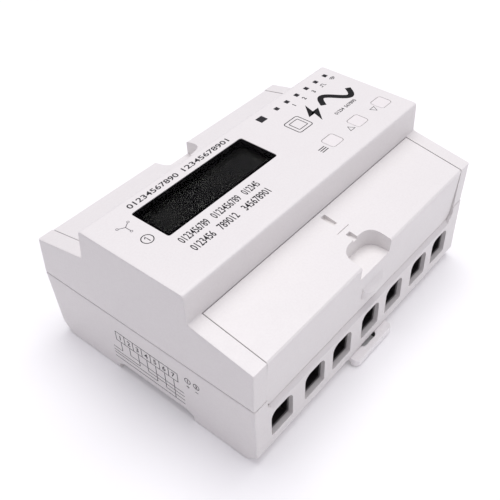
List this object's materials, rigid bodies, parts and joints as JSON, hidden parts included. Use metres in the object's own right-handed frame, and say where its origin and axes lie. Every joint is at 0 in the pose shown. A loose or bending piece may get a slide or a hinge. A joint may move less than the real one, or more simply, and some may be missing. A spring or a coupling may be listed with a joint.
{
  "type": "three-phase smart electric meter",
  "caption": "DIN-rail three-phase energy meter lying on its back: stepped white case, dark display window, push buttons, lift-off terminal covers, wire entries and a sprung rail clip.",
  "frame": {"origin": "middle of the object's footprint, on the surface that its back lies on", "axes": "+X across the modules from the first main terminal to the last, +Y from the main-terminal end to the pulse-output end, +Z out of the front panel"},
  "size_m": [0.126, 0.0984, 0.0615],
  "materials": {
    "case_plastic": "satin off-white moulded plastic with a faint cool pink cast",
    "cover_plastic": "satin off-white moulded plastic",
    "button_plastic": "satin off-white moulded plastic",
    "clip_plastic": "slightly glossy white moulded plastic",
    "black_plastic": "fine matt black",
    "dark_window": "dark tinted plastic",
    "display_lens": "clear pane over a dark display",
    "lcd_glass": "dark grey display glass, switched off",
    "backlight_plastic": "milky diffuser",
    "circuit_board": "green solder resist",
    "terminal_steel": "zinc plated steel",
    "screw_steel": "zinc plated steel",
    "spring_steel": "bright spring wire",
    "brass": "bare brass",
    "copper": "bare copper",
    "transformer_blue": "epoxy coated core",
    "component_black": "moulded component body",
    "yellow_tape": "polyester tape",
    "tinned_shield": "tinned can",
    "terminal_green": "moulded terminal block"
  },
  "bodies": {
    "housing": {"base_housing": "case_plastic", "top_housing": "case_plastic", "display_lens": "display_lens", "display_frame": "black_plastic", "lcd_panel": "lcd_glass", "backlight": "backlight_plastic", "set_key_switch": "component_black", "up_key_switch": "component_black", "down_key_switch": "component_black", "indicator_light_guide": "dark_window", "infrared_window": "dark_window", "infrared_emitter": "component_black", "display_board": "circuit_board", "neutral_bar": "brass", "clip_spring": "spring_steel", "metering_board": "circuit_board", "supply_transformer": "yellow_tape", "supply_capacitor": "component_black", "film_capacitor": "yellow_tape", "metering_chip": "component_black", "radio_module": "tinned_shield", "board_connector": "component_black", "pulse_output_block": "terminal_green", "phase_1_busbar": "copper", "current_transformer_1": "transformer_blue", "phase_2_busbar": "copper", "current_transformer_2": "transformer_blue", "phase_3_busbar": "copper", "current_transformer_3": "transformer_blue", "housing_screw_1": "screw_steel", "housing_screw_2": "screw_steel", "housing_screw_3": "screw_steel", "housing_screw_4": "screw_steel"},
    "lower_cover": {"lower_terminal_cover": "cover_plastic"},
    "upper_cover": {"upper_terminal_cover": "cover_plastic"},
    "set_button": {"set_button": "button_plastic"},
    "up_button": {"up_button": "button_plastic"},
    "down_button": {"down_button": "button_plastic"},
    "rail_clip": {"rail_clip": "clip_plastic"},
    "clamp_screw_1": {"clamp_screw_1": "terminal_steel"},
    "clamp_cage_1": {"clamp_cage_1": "terminal_steel"},
    "clamp_screw_2": {"clamp_screw_2": "terminal_steel"},
    "clamp_cage_2": {"clamp_cage_2": "terminal_steel"},
    "clamp_screw_3": {"clamp_screw_3": "terminal_steel"},
    "clamp_cage_3": {"clamp_cage_3": "terminal_steel"},
    "clamp_screw_4": {"clamp_screw_4": "terminal_steel"},
    "clamp_cage_4": {"clamp_cage_4": "terminal_steel"},
    "clamp_screw_5": {"clamp_screw_5": "terminal_steel"},
    "clamp_cage_5": {"clamp_cage_5": "terminal_steel"},
    "clamp_screw_6": {"clamp_screw_6": "terminal_steel"},
    "clamp_cage_6": {"clamp_cage_6": "terminal_steel"},
    "clamp_screw_7": {"clamp_screw_7": "terminal_steel"},
    "clamp_cage_7": {"clamp_cage_7": "terminal_steel"},
    "pulse_screw_1": {"pulse_screw_1": "terminal_steel"},
    "pulse_screw_2": {"pulse_screw_2": "terminal_steel"}
  },
  "joints": [
    {"name": "set_button_press", "type": "slide", "parent": "housing", "child": "set_button", "axis": [0, 0, -1], "range_m": [0, 0.0008], "stiffness_N_per_m": 500, "springref_m": -0.0006},
    {"name": "up_button_press", "type": "slide", "parent": "housing", "child": "up_button", "axis": [0, 0, -1], "range_m": [0, 0.0008], "stiffness_N_per_m": 500, "springref_m": -0.0006},
    {"name": "down_button_press", "type": "slide", "parent": "housing", "child": "down_button", "axis": [0, 0, -1], "range_m": [0, 0.0008], "stiffness_N_per_m": 500, "springref_m": -0.0006},
    {"name": "rail_clip_pull", "type": "slide", "parent": "housing", "child": "rail_clip", "axis": [0, -1, 0], "range_m": [0, 0.005], "stiffness_N_per_m": 800, "springref_m": -0.004, "deforming": ["clip_spring"]},
    {"name": "lower_cover_lift", "type": "slide", "parent": "housing", "child": "lower_cover", "axis": [0, 0, 1], "range_m": [0, 0.03]},
    {"name": "upper_cover_lift", "type": "slide", "parent": "housing", "child": "upper_cover", "axis": [0, 0, 1], "range_m": [0, 0.03]},
    {"name": "clamp_screw_1_turn", "type": "hinge", "parent": "housing", "child": "clamp_screw_1", "pos_m": [-0.05, -0.03485, 0.03], "axis": [0, 0, -1], "range_deg": [0, 3150]},
    {"name": "clamp_cage_1_rise", "type": "slide", "parent": "housing", "child": "clamp_cage_1", "axis": [0, 0, 1], "range_m": [0, 0.007]},
    {"name": "clamp_screw_2_turn", "type": "hinge", "parent": "housing", "child": "clamp_screw_2", "pos_m": [-0.0326, -0.03485, 0.03], "axis": [0, 0, -1], "range_deg": [0, 3150]},
    {"name": "clamp_cage_2_rise", "type": "slide", "parent": "housing", "child": "clamp_cage_2", "axis": [0, 0, 1], "range_m": [0, 0.007]},
    {"name": "clamp_screw_3_turn", "type": "hinge", "parent": "housing", "child": "clamp_screw_3", "pos_m": [-0.017, -0.03485, 0.03], "axis": [0, 0, -1], "range_deg": [0, 3150]},
    {"name": "clamp_cage_3_rise", "type": "slide", "parent": "housing", "child": "clamp_cage_3", "axis": [0, 0, 1], "range_m": [0, 0.007]},
    {"name": "clamp_screw_4_turn", "type": "hinge", "parent": "housing", "child": "clamp_screw_4", "pos_m": [0.0004, -0.03485, 0.03], "axis": [0, 0, -1], "range_deg": [0, 3150]},
    {"name": "clamp_cage_4_rise", "type": "slide", "parent": "housing", "child": "clamp_cage_4", "axis": [0, 0, 1], "range_m": [0, 0.007]},
    {"name": "clamp_screw_5_turn", "type": "hinge", "parent": "housing", "child": "clamp_screw_5", "pos_m": [0.016, -0.03485, 0.03], "axis": [0, 0, -1], "range_deg": [0, 3150]},
    {"name": "clamp_cage_5_rise", "type": "slide", "parent": "housing", "child": "clamp_cage_5", "axis": [0, 0, 1], "range_m": [0, 0.007]},
    {"name": "clamp_screw_6_turn", "type": "hinge", "parent": "housing", "child": "clamp_screw_6", "pos_m": [0.0334, -0.03485, 0.03], "axis": [0, 0, -1], "range_deg": [0, 3150]},
    {"name": "clamp_cage_6_rise", "type": "slide", "parent": "housing", "child": "clamp_cage_6", "axis": [0, 0, 1], "range_m": [0, 0.007]},
    {"name": "clamp_screw_7_turn", "type": "hinge", "parent": "housing", "child": "clamp_screw_7", "pos_m": [0.049, -0.03485, 0.03], "axis": [0, 0, -1], "range_deg": [0, 3150]},
    {"name": "clamp_cage_7_rise", "type": "slide", "parent": "housing", "child": "clamp_cage_7", "axis": [0, 0, 1], "range_m": [0, 0.007]},
    {"name": "pulse_screw_1_turn", "type": "hinge", "parent": "housing", "child": "pulse_screw_1", "pos_m": [0.038, 0.03785, 0.022], "axis": [0, 0, -1], "range_deg": [0, 1080]},
    {"name": "pulse_screw_2_turn", "type": "hinge", "parent": "housing", "child": "pulse_screw_2", "pos_m": [0.044, 0.03785, 0.022], "axis": [0, 0, -1], "range_deg": [0, 1080]}
  ],
  "couplings": [
    {"joint": "clamp_screw_1_turn", "follows": "clamp_cage_1_rise", "rad_per_m": 7854},
    {"joint": "clamp_screw_2_turn", "follows": "clamp_cage_2_rise", "rad_per_m": 7854},
    {"joint": "clamp_screw_3_turn", "follows": "clamp_cage_3_rise", "rad_per_m": 7854},
    {"joint": "clamp_screw_4_turn", "follows": "clamp_cage_4_rise", "rad_per_m": 7854},
    {"joint": "clamp_screw_5_turn", "follows": "clamp_cage_5_rise", "rad_per_m": 7854},
    {"joint": "clamp_screw_6_turn", "follows": "clamp_cage_6_rise", "rad_per_m": 7854},
    {"joint": "clamp_screw_7_turn", "follows": "clamp_cage_7_rise", "rad_per_m": 7854}
  ]
}
